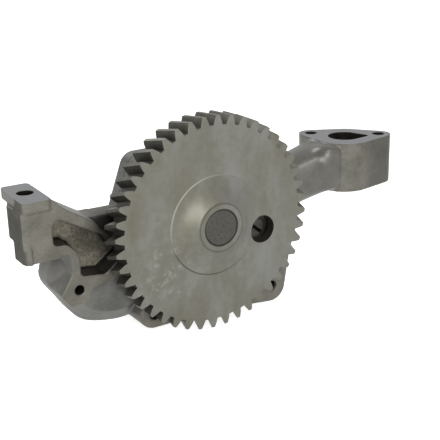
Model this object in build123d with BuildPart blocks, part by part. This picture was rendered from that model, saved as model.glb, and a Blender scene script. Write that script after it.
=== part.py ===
from build123d import *
import math
import os

# Engine oil pump: a two-gear pump in a cast iron housing that hangs from the crankcase.
# Millimetres, +Z up. The origin is the middle of the two-bolt outlet flange, on its machined top face.
# The drive shaft lies along Y. The drive gear is on the side that faces -Y.
# Most places are told from the drive axis: right, above, and so far behind the gear's front face.

# Where the drive gear sits, seen from the outlet flange
DRIVE_LEFT_OF_FLANGE = 138.0
DRIVE_BELOW_FLANGE = 33.0
FACE_BEFORE_FLANGE = 38.0

# Fits
SEAT_GAP = 0.01
RUNNING_GAP = 0.03
SIDE_GAP = 0.1
FREE_GAP = 0.3

# Helical drive gear
DRIVE_TEETH = 44
DRIVE_MODULE = 3.0
HELIX_ANGLE = 19.0
DRIVE_PRESSURE_ANGLE = 20.0
DRIVE_WIDTH = 16.0
DRIVE_ADDENDUM = 3.0
DRIVE_DEDENDUM = 3.2
DRIVE_BACKLASH = 0.1
FIRST_GAP_ANGLE = 164.63
HUB_BASE_R = 33.7
HUB_HOLLOW_R = 24.0
HUB_HOLLOW_HEIGHT = 2.7
HUB_STEP = 0.3
HUB_END_SLOPE = 0.12
HUB_RING_R = 15.8
HUB_SHOULDER = (17.8, 6.3)
HUB_HEIGHT = 7.1
WEB_THICK = 7.0
RECESS_INNER_R = 21.5
RECESS_OUTER_R = 60.5
RECESS_DRAFT = 1.0
ACCESS_HOLE_R = 9.6
ACCESS_HOLE_RIGHT = 36.7
ACCESS_HOLE_ABOVE = -10.6

# Shaft
SHAFT_R = 12.0
SHAFT_REAR_R = 10.0
SHAFT_CHAMFER = 0.5
SHAFT_TAIL = 3.4
THRUST_WASHER_R = 19.0
THRUST_WASHER_THICK = 2.2

# Pump gears
PUMP_TEETH = 12
PUMP_MODULE = 3.5
PUMP_PRESSURE_ANGLE = 25.0
PUMP_ROOT_DEPTH = 4.2
PUMP_BACKLASH = 0.12
PUMP_WIDTH = 23.8
IDLER_DIRECTION = -72.5
KEY_WIDTH = 5.0
KEY_HEIGHT = 4.6
KEY_LENGTH = 18.0

# Bushes and idler axle
FRONT_BUSH_WALL = 2.5
REAR_BUSH_WALL = 2.0
IDLER_AXLE_R = 8.0
IDLER_BUSH_WALL = 2.0
IDLER_AXLE_SEAT = 9.0

# Housing body
BODY_FRONT = 18.5
FRONT_WALL = 14.5
EAR_R = 10.5
UPPER_CORNER_PLACE = (-24.5, 29.5)
UPPER_BOLT_PLACE = (-20.5, 26)
SIDE_BOLT_PLACES = [(34, 30), (65, -32), (-40, -12)]
LOWER_RIGHT_BOLT_PLACE = (57.6, -64)
LOWER_RIGHT_EAR_R = 12.2
LOWER_LEFT_BOLT_PLACE = (-38, -61)
CHAMBER_WALL = 6.5
DOWEL_PLACES = [(-30, 14), (48, -48)]
BODY_EDGE_ROUND = 2.0
PORT_RECESS_R = 9.0
PORT_RECESS_OFFSET = 18.0

# Cover and its fasteners
COVER_THICK = 11.0
COVER_EDGE_ROUND = 2.0
SHAFT_BOSS_R = 17.5
SHAFT_BOSS_HEIGHT = 6.0
IDLER_BOSS_R = 13.0
IDLER_BOSS_HEIGHT = 3.0
BOSS_CHAMFER = 1.0
BOLT_R = 4.0
BOLT_CLEARANCE_R = 4.5
BOLT_LENGTH = 38.0
BOLT_HEAD_ACROSS = 13.0
BOLT_HEAD_HEIGHT = 5.3
WASHER_R = 7.2
WASHER_THICK = 2.0
DOWEL_R = 3.0
DOWEL_LENGTH = 16.0
DOWEL_CHAMFER = 0.5
RING_THICK = 1.2
RING_R = 13.0
RING_GROOVE_DEPTH = 0.8
RING_OPENING = 7.8
REAR_WASHER_R = 14.5
REAR_WASHER_THICK = 1.5

# Bracket on the left, with its pad against the crankcase
PAD_OUTLINE = [(-123.5, 18.3), (-104.5, 18.3), (-103.5, 60), (-122, 60.5)]
PAD_CORNER_R = 3.0
PAD_THICK = 7.0
BRACKET_LEFT = -124.5
BRACKET_BOTTOM = -7.0
BRACKET_REAR = 37.0
BRACKET_BOLT_PLACE = (-113, 40)
BRACKET_BOLT_R = 5.5
BRACKET_BOSS_R = 12.0
BRACKET_BOSS_BOTTOM = 5.0
FOOT_RIGHT = -119.6
FOOT_TOP = 3.0
FOOT_FRONT = 18.5
FOOT_CORNER_R = 4.5

# Left arm with its pocket and leg
ARM_FRONT = 20.0
ARM_REAR = 50.0
ARM_CORNER_R = 3.0
ARM_OUTLINE = [(-113, 30), (-108, 32.8), (-104.4, 32.8), (-95, 24), (-75, 11.5), (-40, 11), (-40, -24),
               (-72, -30.5), (-79.5, -31.5), (-84, -41), (-96, -41.5), (-103, -33), (-94.8, -20), (-94.2, -6),
               (-113, -7)]
RAIL_NOTCH = [(-85, 24), (-73, 7.5), (-64, -2), (-51, -2), (-51, 24)]
RAIL_NOTCH_DEPTH = 12.0
POCKET_DEPTH = 16.0
POCKET_CORNER_R = 3.0
POCKET_OUTLINE = [(-104.8, 1.8), (-104.8, 14.5), (-100.5, 18.6), (-70, 1.5), (-64, -7.5), (-56, -12.5),
                  (-71.5, -24.2), (-88.5, -22), (-87.7, -10), (-90.3, -4.2), (-96, 1)]
LEG_HOLE_PLACE = (-90, -31)
LEG_HOLE_R = 3.4
LEG_HOLE_DEPTH = 14.0

# Suction chamber at the lower left
CHAMBER_FRONT = 25.0
CHAMBER_SHOULDER = 42.0
CHAMBER_NOSE = [(-56, -14), (-78, -8), (-92, -12), (-93, -26),
                (-91, -38), (-82, -47), (-68, -53), (-50, -50)]
CHAMBER_OUTLINE = [(-42, -10), (-76, -6), (-99, -17), (-103, -30), (-94.5, -45),
                   (-83.5, -60), (-64, -67.2), (-42, -65.5)]
INLET_PLACE = (-75, -40)
INLET_R = 14.0
INLET_DEPTH = 21.0
INLET_BOSS_R = 19.0
INLET_BOSS_PROUD = 2.0
INLET_BOLT_SPACING = 44.0
INLET_TURN = -45.0
INLET_BOLT_EAR_R = 8.0
INLET_BOLT_DEPTH = 16.0
SUCTION_PASSAGE_R = 9.0

# Outlet arm and flange
OUTLET_TUBE_R = 18.8
OUTLET_BORE_R = 11.0
OUTLET_TUBE_FROM = (24, 38, -16.5)
OUTLET_TUBE_TO = (82, 36.8, 6)
OUTLET_BORE_TO = (128, 33, 16)
ARM_END_MIDDLE = (112, 32, 15.5)
ARM_END_DEPTH = 36.5
ARM_END_HEIGHT = 33.6
ARM_END_CORNER_R = 8.0
ELBOW_PLACE = (110, 24)
ELBOW_R = 11.5
ELBOW_BOTTOM = -1.5
ELBOW_TOP = 32.0
ELBOW_ROUND = 6.0
FLANGE_TURN = -40.0
FLANGE_HOLE_SPACING = 49.7
FLANGE_HOLE_R = 4.5
FLANGE_HEIGHT = 36.0
FLANGE_LOBE_R = 9.0
FLANGE_MIDDLE_R = 14.2
FLANGE_NOSE_PLACE = (0, -12)
FLANGE_NOSE_R = 20.5
PORT_PLACE = (0, -8)
PORT_R = 12.0
PORT_TIP_PLACE = (15, -6.3)
PORT_TIP_R = 2.5
PORT_DEPTH = 30.0

# Relief valve, upright over the outlet passage
VALVE_PLACE = (50, 43)
VALVE_R = 7.0
VALVE_BOSS_R = 12.0
VALVE_BOSS_TOP = 40.0
VALVE_SEAT_HEIGHT = 8.0
VALVE_SEAT_R = 5.0
VALVE_DRAIN_R = 3.5
VALVE_DRAIN_HEIGHT = 17.0
PLUNGER_LENGTH = 15.0
PLUNGER_WALL = 2.0
PLUNGER_NOSE = 3.0
PLUNGER_CHAMFER = 1.0
SPRING_WIRE_R = 0.8
SPRING_TURNS = 6
SPRING_SIDE_GAP = 0.15
VALVE_PLUG_DEPTH = 9.0
VALVE_PLUG_ACROSS = 19.0
VALVE_PLUG_HEAD = 7.0
SEAL_RING_R = 11.0
SEAL_RING_THICK = 1.5

# Slotted plug behind the access hole
GALLERY_PLUG_PLACE = (43.5, -16.3)
GALLERY_PLUG_R = 8.0
GALLERY_PLUG_LENGTH = 9.0
GALLERY_PLUG_CHAMFER = 0.8
SLOT_WIDTH = 2.4
SLOT_DEPTH = 2.6
SLOT_ANGLE = -40.0

# Sizes that follow from those above
AXIS_X = -DRIVE_LEFT_OF_FLANGE
AXIS_Z = -DRIVE_BELOW_FLANGE
FACE_Y = -FACE_BEFORE_FLANGE
DRIVE_AXIS = Axis((AXIS_X, FACE_Y, AXIS_Z), (0, 1, 0))
DRIVE_PITCH_R = DRIVE_TEETH * DRIVE_MODULE / math.cos(math.radians(HELIX_ANGLE)) / 2
DRIVE_TIP_R = DRIVE_PITCH_R + DRIVE_ADDENDUM
DRIVE_ROOT_R = DRIVE_PITCH_R - DRIVE_DEDENDUM
DRIVE_TRANSVERSE_ANGLE = math.degrees(
    math.atan(math.tan(math.radians(DRIVE_PRESSURE_ANGLE)) / math.cos(math.radians(HELIX_ANGLE))))
DRIVE_TWIST = math.degrees(DRIVE_WIDTH * math.tan(math.radians(HELIX_ANGLE)) / DRIVE_PITCH_R)
PUMP_PITCH_R = PUMP_TEETH * PUMP_MODULE / 2
PUMP_TIP_R = PUMP_PITCH_R + PUMP_MODULE
PUMP_ROOT_R = PUMP_PITCH_R - PUMP_ROOT_DEPTH
IDLER_X = 2 * PUMP_PITCH_R * math.cos(math.radians(IDLER_DIRECTION))
IDLER_Z = 2 * PUMP_PITCH_R * math.sin(math.radians(IDLER_DIRECTION))
CHAMBER_R = PUMP_TIP_R + SIDE_GAP
BOLT_PLACES = [UPPER_BOLT_PLACE] + SIDE_BOLT_PLACES + [LOWER_RIGHT_BOLT_PLACE, LOWER_LEFT_BOLT_PLACE]
PUMP_FRONT = BODY_FRONT + FRONT_WALL
CHAMBER_DEPTH = PUMP_WIDTH + 2 * SIDE_GAP
BODY_REAR = PUMP_FRONT + CHAMBER_DEPTH
COVER_REAR = BODY_REAR + COVER_THICK
SHAFT_BOSS_REAR = COVER_REAR + SHAFT_BOSS_HEIGHT
REAR_BUSH_R = SHAFT_REAR_R + REAR_BUSH_WALL
FRONT_BUSH_R = SHAFT_R + FRONT_BUSH_WALL
RING_FRONT = SHAFT_BOSS_REAR + FREE_GAP + REAR_WASHER_THICK + SIDE_GAP
SHAFT_END = RING_FRONT + SHAFT_TAIL


def upright(depth):
    """Plane that faces the gear side, on the drive axis, so far behind the gear's front face."""
    return Plane(origin=(AXIS_X, FACE_Y + depth, AXIS_Z), x_dir=(1, 0, 0), z_dir=(0, -1, 0))


def level(height):
    """Plane that faces up, so far above the drive axis, whose second axis is the depth."""
    return Plane(origin=(AXIS_X, FACE_Y, AXIS_Z + height), x_dir=(1, 0, 0), z_dir=(0, 0, 1))


def point(right, depth, above):
    """A place told from the drive axis, in the part's frame."""
    return Vector(AXIS_X + right, FACE_Y + depth, AXIS_Z + above)


def along(start, end):
    """Plane at a start point that faces the end point, with how far apart they are."""
    way = point(*end) - point(*start)
    return Plane(origin=point(*start), z_dir=way), way.length


def polar(radius, angle):
    """A point on a circle round a gear's centre."""
    return (radius * math.cos(angle), radius * math.sin(angle))


def involute_turn(radius, base_r):
    """The angle that an involute has turned through where it reaches a radius."""
    if radius <= base_r:
        return 0.0
    return math.sqrt((radius / base_r) ** 2 - 1) - math.acos(base_r / radius)


def toothed_outline(teeth, pitch_r, tip_r, root_r, pressure_angle, backlash, first_tooth):
    """Draw a gear's whole outline. Each flank is an arc through three points of its involute."""
    base_r = pitch_r * math.cos(math.radians(pressure_angle))
    foot_r = max(root_r, base_r)
    half_at_pitch = math.pi / (2 * teeth) - backlash / (2 * pitch_r)

    def half_tooth(radius):
        return half_at_pitch + involute_turn(pitch_r, base_r) - involute_turn(radius, base_r)

    for tooth in range(teeth):
        middle = math.radians(first_tooth) + 2 * math.pi * tooth / teeth
        next_middle = middle + 2 * math.pi / teeth
        between = (middle + next_middle) / 2
        rise = [polar(r, middle - half_tooth(r)) for r in (foot_r, pitch_r, tip_r)]
        fall = [polar(r, middle + half_tooth(r)) for r in (tip_r, pitch_r, foot_r)]
        ThreePointArc(*rise)
        ThreePointArc(rise[-1], polar(tip_r, middle), fall[0])
        ThreePointArc(*fall)
        root_start = polar(root_r, middle + half_tooth(foot_r))
        root_end = polar(root_r, next_middle - half_tooth(foot_r))
        if foot_r > root_r:
            Line(fall[-1], root_start)
            Line(root_end, polar(foot_r, next_middle - half_tooth(foot_r)))
        ThreePointArc(root_start, polar(root_r, between), root_end)


def save(made, label):
    """Label a finished piece and write its file."""
    made.part.label = label
    export_step(made.part, f"parts/{label}.step")


def belt_round(*discs):
    """The outline of a belt pulled round some discs, each told as its place and its radius."""
    with BuildSketch() as belt:
        for place, radius in discs:
            with Locations(place):
                Circle(radius)
        make_hull()
    return belt.sketch


def ring(inner_r, outer_r, front, length, right=0.0, above=0.0):
    """A plain ring or tube on a line along Y, from a depth behind the gear's front face."""
    with BuildPart() as made:
        with BuildSketch(upright(front)):
            with Locations((right, above)):
                Circle(outer_r)
                if inner_r > 0:
                    Circle(inner_r, mode=Mode.SUBTRACT)
        extrude(amount=-length)
    return made


os.makedirs("parts", exist_ok=True)


# Outline that the body and its cover share: a belt round upper bolts and gear chamber, and two lower ears
chamber_disc = ((IDLER_X, IDLER_Z), CHAMBER_R + CHAMBER_WALL)
corner_discs = [(place, EAR_R) for place in [UPPER_CORNER_PLACE] + SIDE_BOLT_PLACES]
lower_right_disc = (LOWER_RIGHT_BOLT_PLACE, LOWER_RIGHT_EAR_R)
body_outline = belt_round(chamber_disc, *corner_discs)
body_outline += belt_round(chamber_disc, corner_discs[2], lower_right_disc)
body_outline += belt_round(chamber_disc, (LOWER_LEFT_BOLT_PLACE, EAR_R))


# Outlet flange block, told from its own middle and turned in plan
flange_plane = Plane.XY.rotated((0, 0, FLANGE_TURN))
with BuildPart() as flange_block:
    with BuildSketch(flange_plane) as flange_outline:
        with Locations((-FLANGE_HOLE_SPACING / 2, 0), (FLANGE_HOLE_SPACING / 2, 0)):
            Circle(FLANGE_LOBE_R)
        Circle(FLANGE_MIDDLE_R)
        with Locations(FLANGE_NOSE_PLACE):
            Circle(FLANGE_NOSE_R)
        make_hull()
    extrude(amount=-FLANGE_HEIGHT)


# Outlet arm: a round tube from the pump body, which squares off where it runs into the flange block
tube_plane, tube_length = along(OUTLET_TUBE_FROM, OUTLET_TUBE_TO)
tube_way = tube_plane.z_dir
with BuildPart() as outlet_arm:
    with BuildSketch(tube_plane):
        Circle(OUTLET_TUBE_R)
    extrude(amount=tube_length)
    with BuildSketch(Plane(origin=point(*OUTLET_TUBE_TO), x_dir=(0, 1, 0), z_dir=tube_way)):
        Circle(OUTLET_TUBE_R)
    with BuildSketch(Plane(origin=point(*ARM_END_MIDDLE), x_dir=(0, 1, 0), z_dir=(1, 0, 0))):
        RectangleRounded(ARM_END_DEPTH, ARM_END_HEIGHT, ARM_END_CORNER_R)
    loft()


# Elbow: an upright round form where the arm turns down the flange block, with a groove beside the block
with BuildPart() as elbow:
    with BuildSketch(level(ELBOW_BOTTOM)):
        with Locations(ELBOW_PLACE):
            Circle(ELBOW_R)
    extrude(amount=ELBOW_TOP - ELBOW_BOTTOM)
    fillet(elbow.faces().filter_by(Plane.XY).edges(), ELBOW_ROUND)


# Left arm with its leg, rounded at its corners
with BuildPart() as left_arm:
    with BuildSketch(upright(ARM_FRONT)) as arm_outline:
        with BuildLine():
            Polyline(*ARM_OUTLINE, close=True)
        make_face()
        fillet(arm_outline.vertices(), ARM_CORNER_R)
    extrude(amount=ARM_FRONT - ARM_REAR)


# Bracket: a boss round the bolt, a flat front, the machined pad, and a round-cornered foot at the lower left
with BuildPart() as bracket:
    with BuildSketch(level(BRACKET_BOSS_BOTTOM)):
        with Locations(BRACKET_BOLT_PLACE):
            Circle(BRACKET_BOSS_R)
    extrude(amount=DRIVE_BELOW_FLANGE - PAD_THICK - BRACKET_BOSS_BOTTOM)
    with BuildSketch(upright(ARM_FRONT)):
        with BuildLine():
            Polyline(
                (BRACKET_LEFT, DRIVE_BELOW_FLANGE - PAD_THICK),
                (BRACKET_BOLT_PLACE[0] + BRACKET_BOSS_R, DRIVE_BELOW_FLANGE - PAD_THICK),
                (BRACKET_BOLT_PLACE[0] + BRACKET_BOSS_R, BRACKET_BOTTOM),
                (FOOT_RIGHT, BRACKET_BOTTOM),
                (FOOT_RIGHT, FOOT_TOP),
                (BRACKET_LEFT, FOOT_TOP),
                close=True)
        make_face()
    extrude(amount=ARM_FRONT - BRACKET_REAR)
    with BuildSketch(level(DRIVE_BELOW_FLANGE - PAD_THICK)) as pad_outline:
        with BuildLine():
            Polyline(*PAD_OUTLINE, close=True)
        make_face()
        fillet(pad_outline.vertices(), PAD_CORNER_R)
    extrude(amount=PAD_THICK)
    with BuildSketch(level(BRACKET_BOTTOM)) as foot_outline:
        with BuildLine():
            Polyline(
                (BRACKET_LEFT, FOOT_FRONT),
                (FOOT_RIGHT, FOOT_FRONT),
                (FOOT_RIGHT, BRACKET_REAR),
                (BRACKET_LEFT, BRACKET_REAR),
                close=True)
        make_face()
        fillet(foot_outline.vertices().sort_by(Axis.X)[:2].sort_by(Axis.Y)[0], FOOT_CORNER_R)
    extrude(amount=FOOT_TOP - BRACKET_BOTTOM)


# The suction inlet's two bolts, on a slanting line through its middle
inlet_bolt_places = []
for side in (-1, 1):
    step_right, step_up = polar(side * INLET_BOLT_SPACING / 2, math.radians(INLET_TURN))
    inlet_bolt_places.append((INLET_PLACE[0] + step_right, INLET_PLACE[1] + step_up))


# Suction chamber: a smooth nose that widens to the outline of its rear wall
with BuildPart() as suction_chamber:
    with BuildSketch(upright(CHAMBER_FRONT)):
        with BuildLine():
            Spline(*CHAMBER_NOSE, periodic=True)
        make_face()
    with BuildSketch(upright(CHAMBER_SHOULDER)) as shoulder_outline:
        with BuildLine():
            Spline(*CHAMBER_OUTLINE, periodic=True)
        make_face()
    loft()
    add(extrude(shoulder_outline.sketch, amount=CHAMBER_SHOULDER - BODY_REAR, mode=Mode.PRIVATE))
    with BuildSketch(upright(BODY_REAR)):
        with Locations(INLET_PLACE):
            Circle(INLET_BOSS_R)
        with Locations(*inlet_bolt_places):
            Circle(INLET_BOLT_EAR_R)
        make_hull()
    extrude(amount=-INLET_BOSS_PROUD)


# Pump housing: one casting with both arms, bored for the gears and the oil's way
with BuildPart() as pump_housing:
    with BuildSketch(upright(BODY_FRONT)):
        add(body_outline)
    extrude(amount=BODY_FRONT - BODY_REAR)
    front_rim = pump_housing.faces().sort_by(Axis.Y)[0].edges()
    fillet(front_rim, BODY_EDGE_ROUND)
    with BuildSketch(level(OUTLET_TUBE_FROM[2])):
        with Locations(VALVE_PLACE):
            Circle(VALVE_BOSS_R)
    extrude(amount=VALVE_BOSS_TOP - OUTLET_TUBE_FROM[2])
    add(flange_block.part)
    add(outlet_arm.part)
    add(elbow.part)
    add(left_arm.part)
    add(bracket.part)
    add(suction_chamber.part)

    # Gear chamber, with a recess on each side of the place where the teeth meet
    with BuildSketch(upright(PUMP_FRONT)):
        Circle(CHAMBER_R)
        with Locations((IDLER_X, IDLER_Z)):
            Circle(CHAMBER_R)
        with Locations(Location((IDLER_X / 2, IDLER_Z / 2), IDLER_DIRECTION)):
            with Locations((0, PORT_RECESS_OFFSET), (0, -PORT_RECESS_OFFSET)):
                Circle(PORT_RECESS_R)
    extrude(amount=-CHAMBER_DEPTH, mode=Mode.SUBTRACT)

    # Shaft bore and the blind hole that holds the idler axle
    with BuildSketch(upright(BODY_FRONT)):
        Circle(FRONT_BUSH_R + SEAT_GAP)
    extrude(amount=-FRONT_WALL, mode=Mode.SUBTRACT)
    with BuildSketch(upright(PUMP_FRONT - IDLER_AXLE_SEAT)):
        with Locations((IDLER_X, IDLER_Z)):
            Circle(IDLER_AXLE_R + SEAT_GAP)
    extrude(amount=-IDLER_AXLE_SEAT, mode=Mode.SUBTRACT)

    # Cover bolts and dowels
    with BuildSketch(upright(BODY_FRONT)):
        with Locations(*BOLT_PLACES):
            Circle(BOLT_R + SEAT_GAP)
    extrude(amount=BODY_FRONT - BODY_REAR, mode=Mode.SUBTRACT)
    with BuildSketch(upright(BODY_REAR - DOWEL_LENGTH / 2)):
        with Locations(*DOWEL_PLACES):
            Circle(DOWEL_R + SEAT_GAP)
    extrude(amount=-DOWEL_LENGTH / 2, mode=Mode.SUBTRACT)

    # Suction: inlet bore from behind, passage to the gear chamber, and the inlet's two bolt holes
    with BuildSketch(upright(BODY_REAR + INLET_BOSS_PROUD)):
        with Locations(INLET_PLACE):
            Circle(INLET_R)
    extrude(amount=INLET_DEPTH + INLET_BOSS_PROUD, mode=Mode.SUBTRACT)
    passage_depth = BODY_REAR - INLET_DEPTH + SUCTION_PASSAGE_R
    passage_start = (INLET_PLACE[0], passage_depth, INLET_PLACE[1])
    recess_right, recess_above = polar(PORT_RECESS_OFFSET, math.radians(IDLER_DIRECTION - 90))
    passage_end = (IDLER_X / 2 + recess_right, passage_depth, IDLER_Z / 2 + recess_above)
    passage_plane, passage_length = along(passage_start, passage_end)
    with BuildSketch(passage_plane):
        Circle(SUCTION_PASSAGE_R)
    extrude(amount=passage_length, mode=Mode.SUBTRACT)
    with BuildSketch(upright(BODY_REAR + INLET_BOSS_PROUD)):
        with Locations(*inlet_bolt_places):
            Circle(LEG_HOLE_R)
    extrude(amount=INLET_BOLT_DEPTH, mode=Mode.SUBTRACT)

    # Pressure: passage up the arm, and the port in the flange
    bore_plane, bore_length = along(OUTLET_TUBE_FROM, OUTLET_BORE_TO)
    with BuildSketch(bore_plane):
        Circle(OUTLET_BORE_R)
    extrude(amount=bore_length, mode=Mode.SUBTRACT)
    with BuildSketch(flange_plane):
        with Locations(PORT_PLACE):
            Circle(PORT_R)
        with Locations(PORT_TIP_PLACE):
            Circle(PORT_TIP_R)
        make_hull()
    extrude(amount=-PORT_DEPTH, mode=Mode.SUBTRACT)
    with BuildSketch(flange_plane):
        with Locations((-FLANGE_HOLE_SPACING / 2, 0), (FLANGE_HOLE_SPACING / 2, 0)):
            Circle(FLANGE_HOLE_R)
    extrude(amount=-FLANGE_HEIGHT, mode=Mode.SUBTRACT)

    # Relief valve: seat hole, guide bore, and a drain to the right
    with BuildSketch(level(OUTLET_TUBE_FROM[2] + OUTLET_BORE_R)):
        with Locations(VALVE_PLACE):
            Circle(VALVE_SEAT_R)
    extrude(amount=VALVE_SEAT_HEIGHT - OUTLET_TUBE_FROM[2] - OUTLET_BORE_R, mode=Mode.SUBTRACT)
    with BuildSketch(level(VALVE_SEAT_HEIGHT)):
        with Locations(VALVE_PLACE):
            Circle(VALVE_R)
    extrude(amount=VALVE_BOSS_TOP - VALVE_SEAT_HEIGHT, mode=Mode.SUBTRACT)
    with BuildSketch(Plane(origin=point(*VALVE_PLACE, VALVE_DRAIN_HEIGHT), z_dir=(1, 0, 0))):
        Circle(VALVE_DRAIN_R)
    extrude(amount=VALVE_BOSS_R, mode=Mode.SUBTRACT)

    # Slotted plug's hole, down to the outlet passage
    with BuildSketch(upright(BODY_FRONT)):
        with Locations(GALLERY_PLUG_PLACE):
            Circle(GALLERY_PLUG_R + SEAT_GAP)
    extrude(amount=-(FRONT_WALL + SIDE_GAP), mode=Mode.SUBTRACT)

    # Bracket bolt, pocket in the left arm, and the small threaded hole in the leg
    with BuildSketch(level(BRACKET_BOTTOM)):
        with Locations(BRACKET_BOLT_PLACE):
            Circle(BRACKET_BOLT_R)
    extrude(amount=DRIVE_BELOW_FLANGE - BRACKET_BOTTOM, mode=Mode.SUBTRACT)
    with BuildSketch(upright(ARM_FRONT)):
        with BuildLine():
            Polyline(*RAIL_NOTCH, close=True)
        make_face()
    extrude(amount=-RAIL_NOTCH_DEPTH, mode=Mode.SUBTRACT)
    with BuildSketch(upright(ARM_FRONT)) as pocket_outline:
        with BuildLine():
            Polyline(*POCKET_OUTLINE, close=True)
        make_face()
        fillet(pocket_outline.vertices(), POCKET_CORNER_R)
    extrude(amount=-POCKET_DEPTH, mode=Mode.SUBTRACT)
    with BuildSketch(upright(ARM_FRONT)):
        with Locations(LEG_HOLE_PLACE):
            Circle(LEG_HOLE_R)
    extrude(amount=-LEG_HOLE_DEPTH, mode=Mode.SUBTRACT)
save(pump_housing, "pump_housing")


# Rear cover, with the boss for the shaft's rear bush
with BuildPart() as rear_cover:
    with BuildSketch(upright(BODY_REAR)):
        add(body_outline)
    extrude(amount=-COVER_THICK)
    rear_rim = rear_cover.faces().sort_by(Axis.Y)[-1].edges()
    fillet(rear_rim, COVER_EDGE_ROUND)
    with BuildSketch(upright(COVER_REAR)):
        Circle(SHAFT_BOSS_R)
    extrude(amount=-SHAFT_BOSS_HEIGHT)
    with BuildSketch(upright(COVER_REAR)):
        with Locations((IDLER_X, IDLER_Z)):
            Circle(IDLER_BOSS_R)
    extrude(amount=-IDLER_BOSS_HEIGHT)
    boss_rims = rear_cover.faces().filter_by(Plane.XZ).sort_by(Axis.Y)[-2:].edges()
    chamfer(boss_rims, BOSS_CHAMFER)
    with BuildSketch(upright(BODY_REAR)):
        Circle(REAR_BUSH_R + SEAT_GAP)
    extrude(amount=BODY_REAR - SHAFT_BOSS_REAR, mode=Mode.SUBTRACT)
    with BuildSketch(upright(BODY_REAR)):
        with Locations((IDLER_X, IDLER_Z)):
            Circle(IDLER_AXLE_R + SEAT_GAP)
    extrude(amount=-IDLER_AXLE_SEAT, mode=Mode.SUBTRACT)
    with BuildSketch(upright(BODY_REAR)):
        with Locations(*BOLT_PLACES):
            Circle(BOLT_CLEARANCE_R)
    extrude(amount=-COVER_THICK, mode=Mode.SUBTRACT)
    with BuildSketch(upright(BODY_REAR)):
        with Locations(*DOWEL_PLACES):
            Circle(DOWEL_R + SEAT_GAP)
    extrude(amount=-DOWEL_LENGTH / 2, mode=Mode.SUBTRACT)
save(rear_cover, "rear_cover")


# Helical drive gear: three turned copies of its outline joined in a loft, a dished hub, and a rear hollow
with BuildPart() as drive_gear:
    first_tooth = FIRST_GAP_ANGLE + 180 / DRIVE_TEETH
    for share in (0, 0.5, 1):
        with BuildSketch(upright(DRIVE_WIDTH * share)):
            with BuildLine():
                toothed_outline(
                    DRIVE_TEETH, DRIVE_PITCH_R, DRIVE_TIP_R, DRIVE_ROOT_R, DRIVE_TRANSVERSE_ANGLE,
                    DRIVE_BACKLASH, first_tooth + DRIVE_TWIST * share)
            make_face()
    loft(ruled=True)
    with BuildSketch(level(0)):
        with BuildLine():
            Polyline((0, DRIVE_WIDTH / 2), (0, -HUB_HEIGHT), (HUB_RING_R, -HUB_HEIGHT))
            Spline(
                (HUB_RING_R, -HUB_HEIGHT),
                (HUB_SHOULDER[0], -HUB_SHOULDER[1]),
                (HUB_HOLLOW_R, -HUB_HOLLOW_HEIGHT),
                (HUB_BASE_R, -HUB_STEP),
                tangents=[(1, 0), (1, HUB_END_SLOPE)])
            Polyline((HUB_BASE_R, -HUB_STEP), (HUB_BASE_R, DRIVE_WIDTH / 2), (0, DRIVE_WIDTH / 2))
        make_face()
    revolve(axis=DRIVE_AXIS)
    with BuildSketch(level(0)):
        with BuildLine():
            Polyline(
                (RECESS_INNER_R, DRIVE_WIDTH),
                (RECESS_INNER_R + RECESS_DRAFT, WEB_THICK),
                (RECESS_OUTER_R - RECESS_DRAFT, WEB_THICK),
                (RECESS_OUTER_R, DRIVE_WIDTH),
                close=True)
        make_face()
    revolve(axis=DRIVE_AXIS, mode=Mode.SUBTRACT)
    with BuildSketch(upright(-HUB_HEIGHT)):
        Circle(SHAFT_R + SEAT_GAP)
        with Locations((ACCESS_HOLE_RIGHT, ACCESS_HOLE_ABOVE)):
            Circle(ACCESS_HOLE_R)
    extrude(amount=-(DRIVE_WIDTH + HUB_HEIGHT), mode=Mode.SUBTRACT)
save(drive_gear, "drive_gear")


# Drive shaft: thick through the gear and the front bush, thinner through the pump gear and the rear bush
with BuildPart() as drive_shaft:
    shoulder = PUMP_FRONT + SIDE_GAP - SEAT_GAP
    with BuildSketch(upright(-HUB_HEIGHT)):
        Circle(SHAFT_R)
    extrude(amount=-(HUB_HEIGHT + shoulder))
    with BuildSketch(upright(shoulder)):
        Circle(SHAFT_REAR_R)
    extrude(amount=shoulder - SHAFT_END)
    shaft_ends = drive_shaft.faces().filter_by(Plane.XZ).sort_by(Axis.Y)
    chamfer([shaft_ends[0].edge(), shaft_ends[-1].edge()], SHAFT_CHAMFER)
    with BuildSketch(upright(RING_FRONT - SEAT_GAP)):
        Circle(SHAFT_REAR_R)
        Circle(SHAFT_REAR_R - RING_GROOVE_DEPTH, mode=Mode.SUBTRACT)
    extrude(amount=-(RING_THICK + 2 * SEAT_GAP), mode=Mode.SUBTRACT)
    with BuildSketch(upright(PUMP_FRONT + (CHAMBER_DEPTH - KEY_LENGTH) / 2)):
        with Locations((0, SHAFT_REAR_R)):
            Rectangle(KEY_WIDTH + 2 * SEAT_GAP, KEY_HEIGHT + 2 * SEAT_GAP)
    extrude(amount=-(KEY_LENGTH + SEAT_GAP), mode=Mode.SUBTRACT)
save(drive_shaft, "drive_shaft")


# Key between the shaft and the driving pump gear
with BuildPart() as pump_gear_key:
    with BuildSketch(upright(PUMP_FRONT + (CHAMBER_DEPTH - KEY_LENGTH) / 2 + SEAT_GAP)):
        with Locations((0, SHAFT_REAR_R)):
            Rectangle(KEY_WIDTH, KEY_HEIGHT)
    extrude(amount=SEAT_GAP - KEY_LENGTH)
save(pump_gear_key, "pump_gear_key")


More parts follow.
